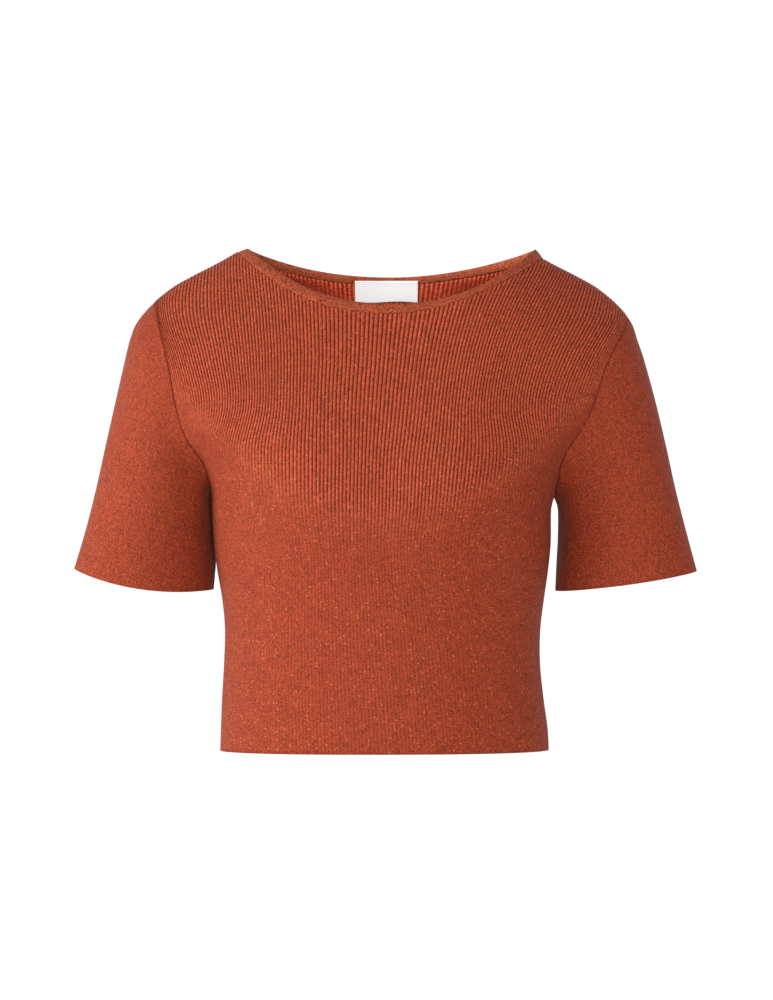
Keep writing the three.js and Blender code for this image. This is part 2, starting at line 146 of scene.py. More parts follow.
def readTable(rows, key, column, at):
    keys = np.array([row[key] for row in rows], float)
    values = np.array([row[column] for row in rows], float)
    if keys[0] > keys[-1]:
        keys, values = keys[::-1], values[::-1]
    slopes = np.empty_like(values)
    slopes[1:-1] = (values[2:] - values[:-2]) / (keys[2:] - keys[:-2])
    slopes[0] = (values[1] - values[0]) / (keys[1] - keys[0])
    slopes[-1] = (values[-1] - values[-2]) / (keys[-1] - keys[-2])
    at = np.clip(np.asarray(at, float), keys[0], keys[-1])
    i = np.clip(np.searchsorted(keys, at) - 1, 0, len(keys) - 2)
    span = keys[i + 1] - keys[i]
    t = (at - keys[i]) / span
    rise = values[i + 1] - values[i]
    bend = t * t * (3 - 2 * t)
    leaving = slopes[i] * span * t * (1 - t) ** 2
    arriving = slopes[i + 1] * span * t * t * (1 - t)
    return values[i] + rise * bend + leaving - arriving


def handed(x, onRight, onLeft):
    return np.where(np.asarray(x) < 0, onRight, onLeft)


def seamOut(x, z):
    # side seam below the underarm, armhole above it
    below = handed(x, readTable(sideSeams, "z", "right", z), readTable(sideSeams, "z", "left", z))
    above = handed(x, readTable(armholes, "z", "right", z), readTable(armholes, "z", "left", z))
    return np.where(z <= body["underarm"], below, above)


def sectionDepth(side, x, z):
    # the section is a squared ellipse, which the armhole cuts short above the underarm
    power = readTable(torso, "z", "square", z)
    middle = readTable(torso, "z", side, z)
    atArmhole = np.minimum(readTable(armholes, "z", "depth", z), body["armholeDeepest"] * middle)
    atArmhole = np.where(z <= body["underarm"], 0, atArmhole)
    closing = seamOut(x, z) / (1 - (atArmhole / middle) ** power) ** (1 / power)
    share = np.minimum(1, np.abs(x) / closing)
    depth = middle * (1 - share ** power) ** (1 / power)
    if side == "front":
        across = (np.abs(x) - body["bustOut"]) / body["bustWide"]
        along = (z - body["bustZ"]) / body["bustTall"]
        depth = depth + body["bustRise"] * np.exp(-across ** 2 - along ** 2) * (1 - share ** 4)
    return depth


def shoulderZ(x):
    return readTable(shoulderLine, "out", "z", np.abs(x))


def bodySurface(side, x, z):
    # a point of the cloth, in millimetres
    below = np.clip((shoulderZ(x) - z) / body["shoulderRound"], 0, 1)
    depth = sectionDepth(side, x, z) * np.sqrt(below * (2 - below)) + body["seamGap"] / 2
    return np.stack([x, depth if side == "back" else -depth, z], axis=-1)


def neckZ(side, curve, x):
    share = np.clip((x - curve["right"]) / (curve["left"] - curve["right"]), 0, 1)
    across = 2 * share - 1
    roundness = handed(across, curve[side]["right"], curve[side]["left"])
    dip = curve[side]["drop"] * (1 - np.abs(across) ** roundness)
    return curve["rightZ"] + (curve["leftZ"] - curve["rightZ"]) * share - dip


def clothNormals(points):
    # outward directions of a grid of points, from its neighbours
    along = np.gradient(points, axis=0)
    across = np.gradient(points, axis=1)
    normal = np.cross(across, along)
    return normal / np.maximum(np.linalg.norm(normal, axis=-1, keepdims=True), 1e-9)


def deselect():
    bpy.ops.object.select_all(action="DESELECT")


def clothGrid(name, points, uv, marks, thickness, closeAcross=False, closeAlong=False):
    # a primitive grid bent to the drafted points; the wall goes inwards from them
    rows, columns = points.shape[0] - 1, points.shape[1] - 1
    deselect()
    bpy.ops.mesh.primitive_grid_add(x_subdivisions=columns, y_subdivisions=rows, size=2)
    piece = bpy.context.object
    piece.name = name
    piece.data.name = name
    mesh = piece.data
    flat = np.empty(len(mesh.vertices) * 3)
    mesh.vertices.foreach_get("co", flat)
    flat = flat.reshape(-1, 3)
    column = np.rint((flat[:, 0] + 1) / 2 * columns).astype(int)
    row = np.rint((flat[:, 1] + 1) / 2 * rows).astype(int)
    mesh.vertices.foreach_set("co", (points[row, column] * mm).ravel())
    corner = np.empty(len(mesh.loops), int)
    mesh.loops.foreach_get("vertex_index", corner)
    mesh.uv_layers[0].name = "knit"
    mesh.uv_layers[0].data.foreach_set("uv", uv[row, column][corner].ravel())
    for mark, values in marks.items():
        layer = mesh.attributes.new(mark, "FLOAT", "POINT")
        layer.data.foreach_set("value", values[row, column].astype(float))
    mesh.update()
    if closeAcross or closeAlong:
        bpy.ops.object.mode_set(mode="EDIT")
        bpy.ops.mesh.select_all(action="SELECT")
        bpy.ops.mesh.remove_doubles(threshold=mergeDistance)
        bpy.ops.mesh.normals_make_consistent(inside=False)
        bpy.ops.object.mode_set(mode="OBJECT")
    if thickness:
        for _ in range(2):
            mesh.materials.append(None)
        wall = piece.modifiers.new("wall", "SOLIDIFY")
        wall.thickness = thickness * mm
        wall.offset = -1
        wall.material_offset = 1        # the inside of the cloth takes the second material
        bpy.ops.object.modifier_apply(modifier=wall.name)
    bpy.ops.object.shade_smooth()
    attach(piece, "root")
    return piece


# The front and back panels, in rib knit
panel = {
    "ribs": 132,
    "stepsPerRib": 4,
    "ribProfile": (-0.45, 0.28, 0.6, 0.28),     # groove, flank, ridge, flank
    "lowerRows": 42,
    "upperRows": 50,
    "topPacking": 1.8,          # rows crowd together where the shoulder rounds off
    "thickness": 2,
    "course": 1.6,              # height of one row of stitches
    "sectionPoints": 161,
    "lowest": -421,             # the wales are worked out at levels between these
    "highest": -2,
    "levelStep": 1.5,
    "topRounds": 8,
    "crowding": 5,
    "closedRelief": 0.12,       # how much of a rib's height is left where the ribs lie closed
    "topRelief": 0.35,          # and at the very top of the panel, and over what height it comes back
    "topFade": 3,
    "closeZ": -246,             # below this arch the ribs lie closed
    "closeRise": 92,
    "closeOut": 150,
    "closeOver": 34,
}
# How the wales lie: the middle ones' shift to the left and spread, the same between the middle and
# the sides, and the room that they would take on either hand against the half girth that there is
waleColumns = ("z", "shift", "spread", "sideShift", "sideSpread", "right", "left")
waleFlow = [dict(zip(waleColumns, row)) for row in (
    (-15, 0.035, 0.028, -0.028, 0.024, 1.147, 1.177),
    (-55, 0.007, -0.043, -0.009, 0.033, 1.24, 1.178),
    (-95, -0.02, -0.021, 0.004, 0.026, 1.146, 1.103),
    (-135, -0.041, 0.026, 0.005, 0.017, 1.015, 0.996),
    (-175, -0.069, -0.005, 0.025, -0.007, 1.146, 1.192),
    (-215, -0.064, -0.051, 0.019, 0.002, 1.051, 1.047),
    (-255, -0.06, -0.059, 0.011, 0.005, 1.03, 1.03),
    (-330, -0.018, 0.03, -0.014, -0.011, 1.03, 1.03),
    (-420, 0, 0.03, 0, 0, 1, 1),
)]


def sectionLine(side, level):
    # the section's outline from seam to seam, and its length measured from the middle
    z = min(level, body["tipLeft"])
    low = -float(seamOut(-1, min(level, body["tipRight"])))
    high = float(seamOut(1, z))
    turn = np.sin(np.linspace(-np.pi / 2, np.pi / 2, panel["sectionPoints"]))
    x = low + (high - low) * (1 + turn) / 2
    lengths = np.concatenate([[0], np.cumsum(np.hypot(np.diff(x), np.diff(sectionDepth(side, x, z))))])
    return x, lengths - np.interp(0, x, lengths)


def waleTable(side, wales, levels):
    # where each wale lies at each level, its place measured along the section from the middle
    rooms = []
    for row in waleFlow:
        lengths = sectionLine(side, row["z"])[1]
        rooms.append({"z": row["z"], "right": -lengths[0] * row["right"], "left": lengths[-1] * row["left"]})
    flow = {name: readTable(waleFlow, "z", name, levels)[:, None] for name in waleFlow[0]}
    nearMiddle = 1 - wales ** 2 if side == "front" else 0 * wales
    place = wales + nearMiddle * (flow["shift"] + flow["sideShift"] * np.cos(np.pi * wales))
    place = place + flow["spread"] * np.sin(np.pi * wales) + flow["sideSpread"] * np.sin(2 * np.pi * wales)
    crowding = np.abs(place) ** panel["crowding"]
    roomRight, roomLeft = (readTable(rooms, "z", hand, levels)[:, None] for hand in ("right", "left"))
    fromMiddle = handed(place, roomRight, roomLeft) * (np.abs(place) - crowding)
    table = []
    for i, level in enumerate(levels):
        x, lengths = sectionLine(side, level)
        reach = handed(place[i], -lengths[0], lengths[-1])
        wanted = (fromMiddle[i] + crowding[i] * reach) * np.sign(place[i])
        table.append(np.interp(wanted, lengths, x))
    return np.array(table)


def waleX(table, levels, z):
    # z holds one value per wale, or a row of them for each row of the panel
    step = levels[1] - levels[0]
    at = np.clip((z - levels[0]) / step, 0, len(levels) - 1.001)
    low = at.astype(int)
    column = np.arange(table.shape[1])
    return table[low, column] + (table[low + 1, column] - table[low, column]) * (at - low)


def panelGrid(side):
    turned = 1 if side == "front" else -1
    columns = panel["ribs"] * panel["stepsPerRib"]
    wales = turned * np.linspace(-1, 1, columns + 1)
    levels = np.arange(panel["lowest"], panel["highest"], panel["levelStep"])
    table = waleTable(side, wales, levels)
    top = np.full(columns + 1, -50.0)
    for _ in range(panel["topRounds"]):
        x = waleX(table, levels, top)
        onNeck = (x > neckSeam["right"]) & (x < neckSeam["left"])
        top = np.where(onNeck, neckZ(side, neckSeam, x), shoulderZ(x))
    hem = body["hemRight"] + (body["hemLeft"] - body["hemRight"]) * (1 + wales) / 2
    if side == "front":
        hem = hem + body["hemRise"] * (1 - wales ** 2)
    lower = np.linspace(0, 1, panel["lowerRows"] + 1)[:-1, None]
    upper = (1 - (1 - np.linspace(0, 1, panel["upperRows"] + 1)) ** panel["topPacking"])[:, None]
    below = hem + (body["underarm"] - hem) * lower
    z = np.concatenate([below, body["underarm"] + (top - body["underarm"]) * upper])
    x = waleX(table, levels, z)
    x[:, wales == -1] = -seamOut(-1, np.minimum(z[:, wales == -1], body["tipRight"]))
    x[:, wales == 1] = seamOut(1, np.minimum(z[:, wales == 1], body["tipLeft"]))
    points = bodySurface(side, x, z)
    normals = clothNormals(points)
    closeZ = panel["closeZ"] + panel["closeRise"] * (x / panel["closeOut"]) ** 2
    ribOpen = np.clip((z - closeZ) / panel["closeOver"], 0, 1)
    nearTop = np.clip((top - z) / panel["topFade"], 0, 1)
    profile = np.array(panel["ribProfile"])[np.arange(columns + 1) % panel["stepsPerRib"]]
    relief = panel["closedRelief"] + (1 - panel["closedRelief"]) * ribOpen
    reliefAtTop = panel["topRelief"] + (1 - panel["topRelief"]) * nearTop
    points = points + normals * (profile * relief * reliefAtTop)[..., None]
    fromHem = np.concatenate([0 * z[:1], np.cumsum(np.linalg.norm(np.diff(points, axis=0), axis=-1), axis=0)])
    ribAt = np.broadcast_to((np.arange(columns + 1) / panel["stepsPerRib"])[None, :], z.shape)
    uv = np.stack([ribAt, fromHem / panel["course"]], axis=-1)
    return points, uv, ribOpen


def makePanel(side):
    points, uv, ribOpen = panelGrid(side)
    piece = clothGrid(side + "_panel", points, uv, {"ribOpen": ribOpen}, panel["thickness"])
    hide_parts(side)
    print(side, "panel made:", len(piece.data.polygons), "faces")
    return piece


frontPanel = makePanel("front")
backPanel = makePanel("back")

# The sleeves, in plain fine knit, set into the armholes
sleeveOuter = [
    {"z": -44, "right": 189.7, "left": 189.7},
    {"z": -52.3, "right": 198, "left": 198},
    {"z": -63, "right": 206.2, "left": 205.6},
    {"z": -76, "right": 211.3, "left": 209.9},
    {"z": -90, "right": 214.8, "left": 214.8},
    {"z": -125, "right": 222.8, "left": 224.5},
    {"z": -163, "right": 231.4, "left": 233.6},
    {"z": -201, "right": 239.8, "left": 242},
    {"z": -234, "right": 248.2, "left": 250.4},
    {"z": -269, "right": 258.6, "left": 259.8},
]
sleeveInner = [
    {"z": -207, "right": 144, "left": 141.6},
    {"z": -209, "right": 144.4, "left": 142.2},
    {"z": -213, "right": 144.2, "left": 144},
    {"z": -219, "right": 143.8, "left": 145.2},
    {"z": -240, "right": 142, "left": 145.4},
    {"z": -259, "right": 141.2, "left": 144.4},
    {"z": -286, "right": 142.8, "left": 142.6},
]
sleeveHems = {
    "right": {"outer": -266.3, "inner": -284.2, "frontSag": 7.2, "backSag": 3},
    "left": {"outer": -268.5, "inner": -285.3, "frontSag": 1.8, "backSag": 1},
}
# The sleeve's depth, and how far the side next to the body is turned back
sleeveDepths = [
    {"share": 0, "front": 60, "back": 60, "turn": 0},
    {"share": 0.12, "front": 60.4, "back": 60.7, "turn": 9},
    {"share": 0.4, "front": 61, "back": 62, "turn": 20},
    {"share": 0.7, "front": 57.5, "back": 59, "turn": 20},
    {"share": 1, "front": 53, "back": 55, "turn": 12},
]
sleeve = {
    "around": 168,
    "rows": 76,
    "thickness": 2,
    "fadeOver": 0.55,       # the armhole's shape fades into the round sleeve over this share
    "wale": 1.5,
    "course": 1.6,
}


def sleevePoint(hand, tip, angle, share):
    hem = sleeveHems[hand]
    outerZ = tip + (hem["outer"] - tip) * share
    innerZ = body["underarm"] + (hem["inner"] - body["underarm"]) * share
    outer = readTable(sleeveOuter, "z", hand, outerZ)
    inner = readTable(sleeveInner, "z", hand, innerZ)
    inFront = np.sin(angle) > 0
    depth = np.where(
        inFront,
        readTable(sleeveDepths, "share", "front", share),
        readTable(sleeveDepths, "share", "back", share),
    )
    sag = np.where(inFront, hem["frontSag"], hem["backSag"]) * share * np.sin(angle) ** 2
    between = (1 + np.cos(angle)) / 2
    turn = readTable(sleeveDepths, "share", "turn", share) * (1 - between)
    return np.stack([
        (inner + (outer - inner) * between) * (1 if hand == "left" else -1),
        turn - depth * np.sin(angle),
        innerZ + (outerZ - innerZ) * between - sag,
    ], axis=-1)


def makeSleeve(hand):
    sign = -1 if hand == "right" else 1
    tipOut = float(seamOut(sign, body["tipRight" if sign < 0 else "tipLeft"]))
    tip = float(shoulderZ(tipOut))
    angle = np.linspace(-np.pi, np.pi, sleeve["around"] + 1)
    z = body["underarm"] + (tip - body["underarm"]) * (1 + np.cos(angle)) / 2
    x = sign * seamOut(sign, z)
    edge = np.where((angle > 0)[:, None], bodySurface("front", x, z), bodySurface("back", x, z))
    edge[[0, -1], 1] = 0
    share = np.linspace(0, 1, sleeve["rows"] + 1)[:, None]
    fade = np.clip(1 - share / sleeve["fadeOver"], 0, 1) ** 2
    points = sleevePoint(hand, tip, angle[None, :], share)
    points = points + (edge - sleevePoint(hand, tip, angle[None, :], np.zeros((1, 1)))) * fade[..., None]
    around = np.concatenate([[0], np.cumsum(np.linalg.norm(np.diff(points[-1], axis=0), axis=-1))])
    steps = np.linalg.norm(np.diff(points, axis=0), axis=-1)
    along = np.concatenate([0 * z[None, :], np.cumsum(steps, axis=0)])
    wale = np.broadcast_to((around / sleeve["wale"])[None, :], share.shape[:1] + around.shape)
    uv = np.stack([wale, along / sleeve["course"]], axis=-1)
    marks = {"fromSeam": along}
    piece = clothGrid("sleeve_" + hand + "_knit", points, uv, marks, sleeve["thickness"], closeAcross=True)
    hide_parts("sleeve_" + hand)
    print(hand, "sleeve made:", len(piece.data.polygons), "faces")
    return piece


rightSleeve = makeSleeve("right")
leftSleeve = makeSleeve("left")

# The binding round the neck, and the bare woven label inside the back
neckband = {
    "samples": 150,
    "lean": 0.945,
    "gap": 0.4,
    "out": 0.9,
    "in": -2,
    "cornerTuck": 1.2,      # how much less it stands out at the neck points
    "cornerSharpness": 14,
    "insideShare": 0.3,
    "wale": 1.3,
    "course": 1.1,
    "section": ((0, 0.1), (0, 0.9), (0.12, 1), (0.4, 1.06), (0.7, 1.02), (0.92, 0.85), (1, 0.5),
                (0.92, 0.12), (0.7, 0), (0.4, -0.03), (0.12, 0)),
}
label = {
    "from": -25.2,
    "to": 28.4,
    "top": -22.2,
    "bottom": -39.2,
    "inset": 2.4,
    "waveRise": 0.5,
    "waveLength": 7.5,
    "waveBelow": -35,
    "lift": 2,              # its free lower edge stands this much further off the back
    "thickness": 0.9,
    "columns": 60,
    "rows": 22,
}


def bandLines(side, place):
    seamX = neckSeam["right"] + (neckSeam["left"] - neckSeam["right"]) * place
    edgeX = neckEdge["right"] + (neckEdge["left"] - neckEdge["right"]) * place
    seam = bodySurface(side, seamX, neckZ(side, neckSeam, seamX))
    edge = np.stack([edgeX, seam[:, 1] * neckband["lean"], neckZ(side, neckEdge, edgeX)], axis=-1)
    return seam, edge


def makeNeckband():
    share = (1 - np.cos(np.linspace(0, np.pi, neckband["samples"] + 1))) / 2
    frontSeam, frontEdge = bandLines("front", share)
    backSeam, backEdge = bandLines("back", share[::-1])
    frontSeam[[0, -1], 1] = frontEdge[[0, -1], 1] = 0
    seam = np.concatenate([frontSeam[:-1], backSeam[:-1], frontSeam[:1]])
    edge = np.concatenate([frontEdge[:-1], backEdge[:-1], frontEdge[:1]])
    seam[[neckband["samples"]], 1] = edge[[neckband["samples"]], 1] = 0
    rise = edge - seam
    seam = seam + rise / np.linalg.norm(rise, axis=-1, keepdims=True) * neckband["gap"]
    rise = edge - seam
    around = np.roll(edge[:-1], -1, axis=0) - np.roll(edge[:-1], 1, axis=0)
    around = np.concatenate([around, around[:1]])
    normal = np.cross(around, rise)
    normal /= np.linalg.norm(normal, axis=-1, keepdims=True)
    ring = neckband["section"] + neckband["section"][:1]
    corner = np.abs(2 * share - 1) ** neckband["cornerSharpness"]
    corner = np.concatenate([corner[:-1], corner[:-1], corner[:1]])
    outside = (neckband["out"] - neckband["cornerTuck"] * corner)[:, None]
    points = np.stack([
        seam + rise * up + normal * (neckband["in"] + (outside - neckband["in"]) * out)
        for up, out in ring
    ])
    length = np.concatenate([[0], np.cumsum(np.linalg.norm(np.diff(edge, axis=0), axis=-1))])
    height = np.concatenate([[0], np.cumsum(np.linalg.norm(np.diff(points[:, 0], axis=0), axis=-1))])
    uv = np.stack(np.meshgrid(length / neckband["wale"], height / neckband["course"]), axis=-1)
    isInside = np.array([[float(out < neckband["insideShare"])] for _, out in ring])
    inside = np.broadcast_to(isInside, points.shape[:2])
    piece = clothGrid("neckband_knit", points, uv, {"inside": inside}, 0, closeAcross=True, closeAlong=True)
    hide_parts("neckband")
    print("neckband made:", len(piece.data.polygons), "faces")
    return piece


def makeLabel():
    x = np.linspace(label["to"], label["from"], label["columns"] + 1)[None, :]
    z = np.linspace(label["bottom"], label["top"], label["rows"] + 1)[:, None]
    z = z + label["waveRise"] * np.sin(x / label["waveLength"]) * (z < label["waveBelow"])
    x = np.broadcast_to(x, z.shape)
    points = bodySurface("back", x, z)
    fromTop = (label["top"] - z) / (label["top"] - label["bottom"])
    inset = label["inset"] + label["lift"] * fromTop ** 2
    points = points - clothNormals(points) * inset[..., None]
    uv = np.stack([x, z], axis=-1)
    piece = clothGrid("neck_label", points, uv, {}, label["thickness"])
    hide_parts("label")
    print("label made:", len(piece.data.polygons), "faces")
    return piece


bandPiece = makeNeckband()
labelPiece = makeLabel()

# Materials
knitColours = {
    "ridge": (0.222, 0.0405, 0.018, 1),
    # painted shade: the dark colour laid into the rib grooves where shade falls, and along the armhole seam
    "groove": (0.092, 0.0044, 0.0011, 1),
    "plain": (0.159, 0.0234, 0.0095, 1),
    "band": (0.186, 0.036, 0.0155, 1),
    "fleck": (0.42, 0.12, 0.06, 1),
    "label": (0.9, 0.915, 0.93, 1),
    # painted shade between the label's threads
    "labelPaintedShade": (0.83, 0.85, 0.87, 1),
}
knitLooks = {
    # openGrooveShade and closedGrooveShade: how much painted shade goes into the grooves where the ribs lie
    # open and where they lie closed
    "rib": {"colour": "plain", "openGrooveShade": 0.96, "closedGrooveShade": 0.04, "grainAndShade": 0.42, "fleck": 0.35},
    "plain": {"colour": "plain", "openGrooveShade": 0, "closedGrooveShade": 0.05, "grainAndShade": 0.55, "fleck": 0.25},
    "band": {"colour": "band", "openGrooveShade": 0, "closedGrooveShade": 0.3, "grainAndShade": 0.95, "fleck": 0.5},
    # painted light on the inner faces of the panels, seen through the neck opening: their colour is
    # multiplied lighter than the outside
    "insidePaintedLight": (2.8, 3.4, 3.7),
    # painted light on the neckband's inner side, multiplied lighter
    "bandInsidePaintedLight": (1.7, 1.9, 2),
    # painted shade along the armhole seam: the sleeve darkens towards the groove colour over these
    # millimetres from it
    "seamPaintedShade": {"over": (0.6, 2.4), "depth": 0.5},       # millimetres from the armhole seam
}

knitSurface = {
    "Roughness": 0.7,
    "Specular IOR Level": 0.12,
    "Specular Tint": (1, 0.5, 0.35, 1),
    "Sheen Weight": 0.05,
    "Sheen Roughness": 0.28,
    "Sheen Tint": (1, 0.55, 0.42, 1),
}
knitRelief = {"Strength": 0.35, "Distance": 0.0004}
tapeSurface = {"Roughness": 0.5, "Sheen Weight": 0.1}
tapeRelief = {"Strength": 0.2, "Distance": 0.0001}
tapeWeaveScale = 0.9
# The stitches' pattern, in stitches across and courses up
stitchPattern = {
    "groove": (0.45, 0.88),         # where a groove begins and is full, out from the ridge
    "legSlope": 0.55,
    "grooveDepth": -1.4,
    "waveHeight": 0.22,
    # painted shade: how much the colour follows the stitch legs' relief
    "wavePaintedShade": 0.12,
    "patchScale": 0.16,
    "patchStretch": (1.5, 0.8, 1),
    "patchShade": 0.3,
    "grains": (3, 2.3, 1),          # grains of shade to a stitch, across and up
    "flecks": (2.01, 1.303, 1),
    "fleckShare": (0.97, 0.99),
}


def mathNode(group, operation, first, second=None, third=None):
    node = group.nodes.new("ShaderNodeMath")
    node.operation = operation
    for socket, value in zip(node.inputs, (first, second, third)):
        if value is None:
            continue
        if isinstance(value, (int, float)):
            socket.default_value = value
        else:
            group.links.new(value, socket)
    return node.outputs[0]


def smoothStep(group, value, low, high):
    node = group.nodes.new("ShaderNodeMapRange")
    node.interpolation_type = "SMOOTHSTEP"
    node.inputs["From Min"].default_value = low
    node.inputs["From Max"].default_value = high
    group.links.new(value, node.inputs["Value"])
    return node.outputs["Result"]


def scaled(group, vector, factors):
    node = group.nodes.new("ShaderNodeVectorMath")
    node.operation = "MULTIPLY"
    node.inputs[1].default_value = factors
    group.links.new(vector, node.inputs[0])
    return node.outputs[0]


def stitchRandom(group, vector, factors):
    # one random value for each stitch
    whole = group.nodes.new("ShaderNodeVectorMath")
    whole.operation = "FLOOR"
    group.links.new(scaled(group, vector, factors), whole.inputs[0])
    node = group.nodes.new("ShaderNodeTexWhiteNoise")
    node.noise_dimensions = "2D"
    group.links.new(whole.outputs[0], node.inputs["Vector"])
    return node.outputs["Value"]


def buildKnitGroup():
    # one stitch per unit of the map: wales across, courses up, with V-shaped legs on each wale
    group = bpy.data.node_groups.new("knitStitch", "ShaderNodeTree")
    group.interface.new_socket("Stitches", in_out="INPUT", socket_type="NodeSocketVector")
    for name in ("Groove", "Height", "GrainAndShade", "Fleck"):
        group.interface.new_socket(name, in_out="OUTPUT", socket_type="NodeSocketFloat")
    stitches = group.nodes.new("NodeGroupInput").outputs["Stitches"]
    outputs = group.nodes.new("NodeGroupOutput")
    split = group.nodes.new("ShaderNodeSeparateXYZ")
    group.links.new(stitches, split.inputs[0])
    across = mathNode(group, "SUBTRACT", mathNode(group, "FRACT", split.outputs["X"]), 0.5)
    fromRidge = mathNode(group, "MULTIPLY", mathNode(group, "ABSOLUTE", across), 2)
    groove = smoothStep(group, fromRidge, *stitchPattern["groove"])
    leg = mathNode(group, "MULTIPLY_ADD", fromRidge, stitchPattern["legSlope"], split.outputs["Y"])
    wave = mathNode(group, "SINE", mathNode(group, "MULTIPLY", leg, 2 * math.pi))
    ridge = mathNode(group, "MULTIPLY_ADD", groove, stitchPattern["grooveDepth"], 1)
    height = mathNode(group, "MULTIPLY_ADD", wave, stitchPattern["waveHeight"], ridge)
    patches = group.nodes.new("ShaderNodeTexNoise")
    patches.inputs["Scale"].default_value = stitchPattern["patchScale"]
    patches.inputs["Detail"].default_value = 2
    group.links.new(scaled(group, stitches, stitchPattern["patchStretch"]), patches.inputs["Vector"])
    fine = mathNode(group, "SUBTRACT", stitchRandom(group, stitches, stitchPattern["grains"]), 0.5)
    coarse = mathNode(group, "SUBTRACT", patches.outputs["Fac"], 0.5)
    # painted shade: the colour darkens and lightens with the stitch legs' wave, on top of the random grain
    # and patches
    grainAndShade = mathNode(group, "MULTIPLY_ADD", wave, stitchPattern["wavePaintedShade"], fine)
    grainAndShade = mathNode(group, "MULTIPLY_ADD", coarse, stitchPattern["patchShade"], grainAndShade)
    chance = stitchRandom(group, stitches, stitchPattern["flecks"])
    fleck = smoothStep(group, chance, *stitchPattern["fleckShare"])
    for name, value in (("Groove", groove), ("Height", height), ("GrainAndShade", grainAndShade), ("Fleck", fleck)):
        group.links.new(value, outputs.inputs[name])
    return group


knitGroup = buildKnitGroup()


def mixColour(tree, factor, first, second, blend="MIX"):
    node = tree.nodes.new("ShaderNodeMix")
    node.data_type = "RGBA"
    node.blend_type = blend
    for socket, value in ((node.inputs["Factor"], factor), (node.inputs[6], first), (node.inputs[7], second)):
        if isinstance(value, (int, float, tuple)):
            socket.default_value = value
        else:
            tree.links.new(value, socket)
    return node.outputs[2]


def knitMaterial(name, look, paintedLight=(1, 1, 1), insideMark=None, seamMark=None):
    material = bpy.data.materials.new(name)
    material.use_nodes = True
    tree = material.node_tree
    shader = tree.nodes["Principled BSDF"]
    for socket, value in knitSurface.items():
        shader.inputs[socket].default_value = value
    uvMap = tree.nodes.new("ShaderNodeUVMap")
    uvMap.uv_map = "knit"
    stitches = tree.nodes.new("ShaderNodeGroup")
    stitches.node_tree = knitGroup
    tree.links.new(uvMap.outputs[0], stitches.inputs["Stitches"])
    ground = knitColours[look["colour"]]
    depth = look["closedGrooveShade"]
    if look["openGrooveShade"]:
        openMark = tree.nodes.new("ShaderNodeAttribute")
        openMark.attribute_name = "ribOpen"
        openness = openMark.outputs["Fac"]
        ground = mixColour(tree, openness, ground, knitColours["ridge"])
        depth = mathNode(tree, "MULTIPLY_ADD", openness, look["openGrooveShade"] - depth, depth)
    # painted shade in the rib grooves
    paintedGrooveShade = mathNode(tree, "MULTIPLY", stitches.outputs["Groove"], depth)
    ground = mixColour(tree, paintedGrooveShade, ground, knitColours["groove"])
    # random grain together with painted shade on the stitches
    grainAndShade = mathNode(tree, "MULTIPLY_ADD", stitches.outputs["GrainAndShade"], 2 * look["grainAndShade"], 1)
    ground = mixColour(tree, 1, ground, grainAndShade, "MULTIPLY")
    # painted shade along the armhole seam
    if seamMark:
        fromSeam = tree.nodes.new("ShaderNodeAttribute")
        fromSeam.attribute_name = seamMark
        clear = smoothStep(tree, fromSeam.outputs["Fac"], *knitLooks["seamPaintedShade"]["over"])
        darkest = knitLooks["seamPaintedShade"]["depth"]
        shade = mathNode(tree, "MULTIPLY_ADD", clear, -darkest, darkest)
        ground = mixColour(tree, shade, ground, knitColours["groove"])
    # painted light: the colour is multiplied lighter, on the whole material or only where the inside mark is
    # set
    factor = 1
    if insideMark:
        inside = tree.nodes.new("ShaderNodeAttribute")
        inside.attribute_name = insideMark
        factor = inside.outputs["Fac"]
    ground = mixColour(tree, factor, ground, (*paintedLight, 1), "MULTIPLY")
    fleck = mathNode(tree, "MULTIPLY", stitches.outputs["Fleck"], look["fleck"])
    tree.links.new(mixColour(tree, fleck, ground, knitColours["fleck"]), shader.inputs["Base Color"])
    relief = tree.nodes.new("ShaderNodeBump")
    for socket, value in knitRelief.items():
        relief.inputs[socket].default_value = value
    tree.links.new(stitches.outputs["Height"], relief.inputs["Height"])
    tree.links.new(relief.outputs[0], shader.inputs["Normal"])
    return material


def labelMaterial():
    material = bpy.data.materials.new("wovenTape")
    material.use_nodes = True
    tree = material.node_tree
    shader = tree.nodes["Principled BSDF"]
    for socket, value in tapeSurface.items():
        shader.inputs[socket].default_value = value
    uvMap = tree.nodes.new("ShaderNodeUVMap")
    uvMap.uv_map = "knit"
    weave = tree.nodes.new("ShaderNodeTexWave")
    weave.inputs["Scale"].default_value = tapeWeaveScale
    tree.links.new(uvMap.outputs[0], weave.inputs["Vector"])
    # the weave's lower parts take the darker colour with its relief: painted shade
    threads = mixColour(tree, weave.outputs["Fac"], knitColours["labelPaintedShade"], knitColours["label"])
    tree.links.new(threads, shader.inputs["Base Color"])
    relief = tree.nodes.new("ShaderNodeBump")
    for socket, value in tapeRelief.items():
        relief.inputs[socket].default_value = value
    tree.links.new(weave.outputs["Fac"], relief.inputs["Height"])
    tree.links.new(relief.outputs[0], shader.inputs["Normal"])
    return material


ribKnit = knitMaterial("ribKnit", knitLooks["rib"])
# the panels' inner faces: rib knit with painted light on it
ribInsidePaintedLight = knitMaterial("ribInsidePaintedLight", knitLooks["rib"], knitLooks["insidePaintedLight"])
sleeveKnit = knitMaterial("sleeveKnit", knitLooks["plain"], seamMark="fromSeam")
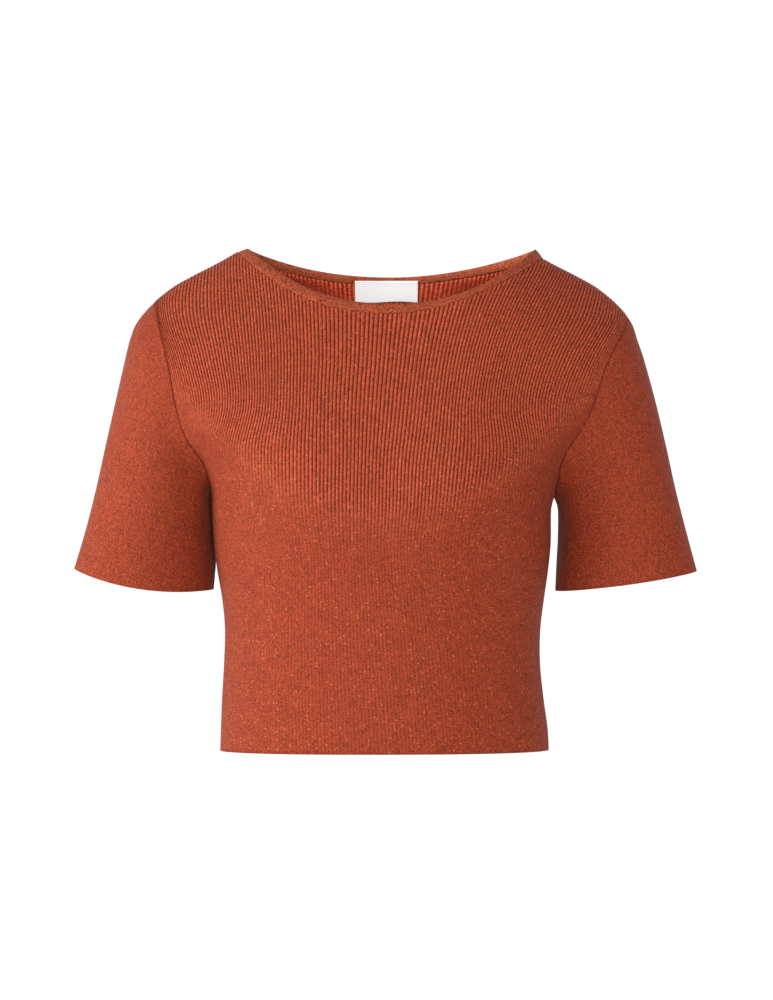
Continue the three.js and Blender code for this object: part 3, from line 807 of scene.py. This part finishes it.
# the neckband: its inner side, by the inside mark, has painted light on it
bandKnit = knitMaterial("bandKnit", knitLooks["band"], knitLooks["bandInsidePaintedLight"], "inside")
for piece, materials in (
    (frontPanel, (ribKnit, ribInsidePaintedLight)),
    (backPanel, (ribKnit, ribInsidePaintedLight)),
    (rightSleeve, (sleeveKnit, sleeveKnit)),
    (leftSleeve, (sleeveKnit, sleeveKnit)),
    (bandPiece, (bandKnit,)),
    (labelPiece, (labelMaterial(),)),
):
    for place, material in enumerate(materials):
        if place < len(piece.data.materials):
            piece.data.materials[place] = material
        else:
            piece.data.materials.append(material)
print("materials set")

# Studio: a pale floor, even light all round, a soft key from the viewer's left and a soft front light
studio = {
    "floorZ": -0.9,
    "floorSize": 12,
    "floorColour": (0.85, 0.85, 0.85, 1),
    "shownWhite": 1.05,
    "ambient": 0.92,
    "key": {"at": (-2.6, -0.85, 0.1), "size": 1.4, "power": 114, "colour": (0.94, 1.02, 1.06)},
    "front": {"at": (0.1, -3.2, 0.1), "size": 1.2, "power": 84, "colour": (1, 1, 1)},
    "aim": (0, 0, -0.22),
}


def softLight(name, setup):
    bpy.ops.object.light_add(type="AREA", location=setup["at"])
    light = bpy.context.object
    light.name = name
    light.data.size = setup["size"]
    light.data.energy = setup["power"]
    light.data.color = setup["colour"]
    toAim = [studio["aim"][i] - setup["at"][i] for i in range(3)]
    flat = math.hypot(toAim[0], toAim[1])
    light.rotation_euler = (math.atan2(flat, -toAim[2]), 0, math.atan2(toAim[1], toAim[0]) - math.pi / 2)


def whiteToCamera(tree, output, surface, white):
    # shows as plain white, and lights the top no more than its own shader does
    ray = tree.nodes.new("ShaderNodeLightPath")
    choose = tree.nodes.new("ShaderNodeMixShader")
    tree.links.new(ray.outputs["Is Camera Ray"], choose.inputs[0])
    tree.links.new(surface, choose.inputs[1])
    tree.links.new(white, choose.inputs[2])
    tree.links.new(choose.outputs[0], output)


softLight("keyLight", studio["key"])
softLight("frontLight", studio["front"])
world = bpy.data.worlds.new("studioWorld")
bpy.context.scene.world = world
world.use_nodes = True
dim = world.node_tree.nodes["Background"]
dim.inputs["Color"].default_value = (1, 1, 1, 1)
dim.inputs["Strength"].default_value = studio["ambient"]
bright = world.node_tree.nodes.new("ShaderNodeBackground")
bright.inputs["Strength"].default_value = studio["shownWhite"]
bright.inputs["Color"].default_value = (1, 1, 1, 1)
worldSurface = world.node_tree.nodes["World Output"].inputs["Surface"]
whiteToCamera(world.node_tree, worldSurface, dim.outputs[0], bright.outputs[0])
deselect()
bpy.ops.mesh.primitive_plane_add(size=studio["floorSize"], location=(0, 0, studio["floorZ"]))
floor = bpy.context.object
floor.name = "studioFloor"
floorMaterial = bpy.data.materials.new("paleFloor")
floorMaterial.use_nodes = True
floorTree = floorMaterial.node_tree
floorTree.nodes["Principled BSDF"].inputs["Base Color"].default_value = studio["floorColour"]
glow = floorTree.nodes.new("ShaderNodeEmission")
glow.inputs["Strength"].default_value = studio["shownWhite"]
whiteToCamera(
    floorTree,
    floorTree.nodes["Material Output"].inputs["Surface"],
    floorTree.nodes["Principled BSDF"].outputs[0],
    glow.outputs[0],
)
floor.data.materials.append(floorMaterial)
bpy.context.scene.view_settings.view_transform = "Standard"
print("studio lit")
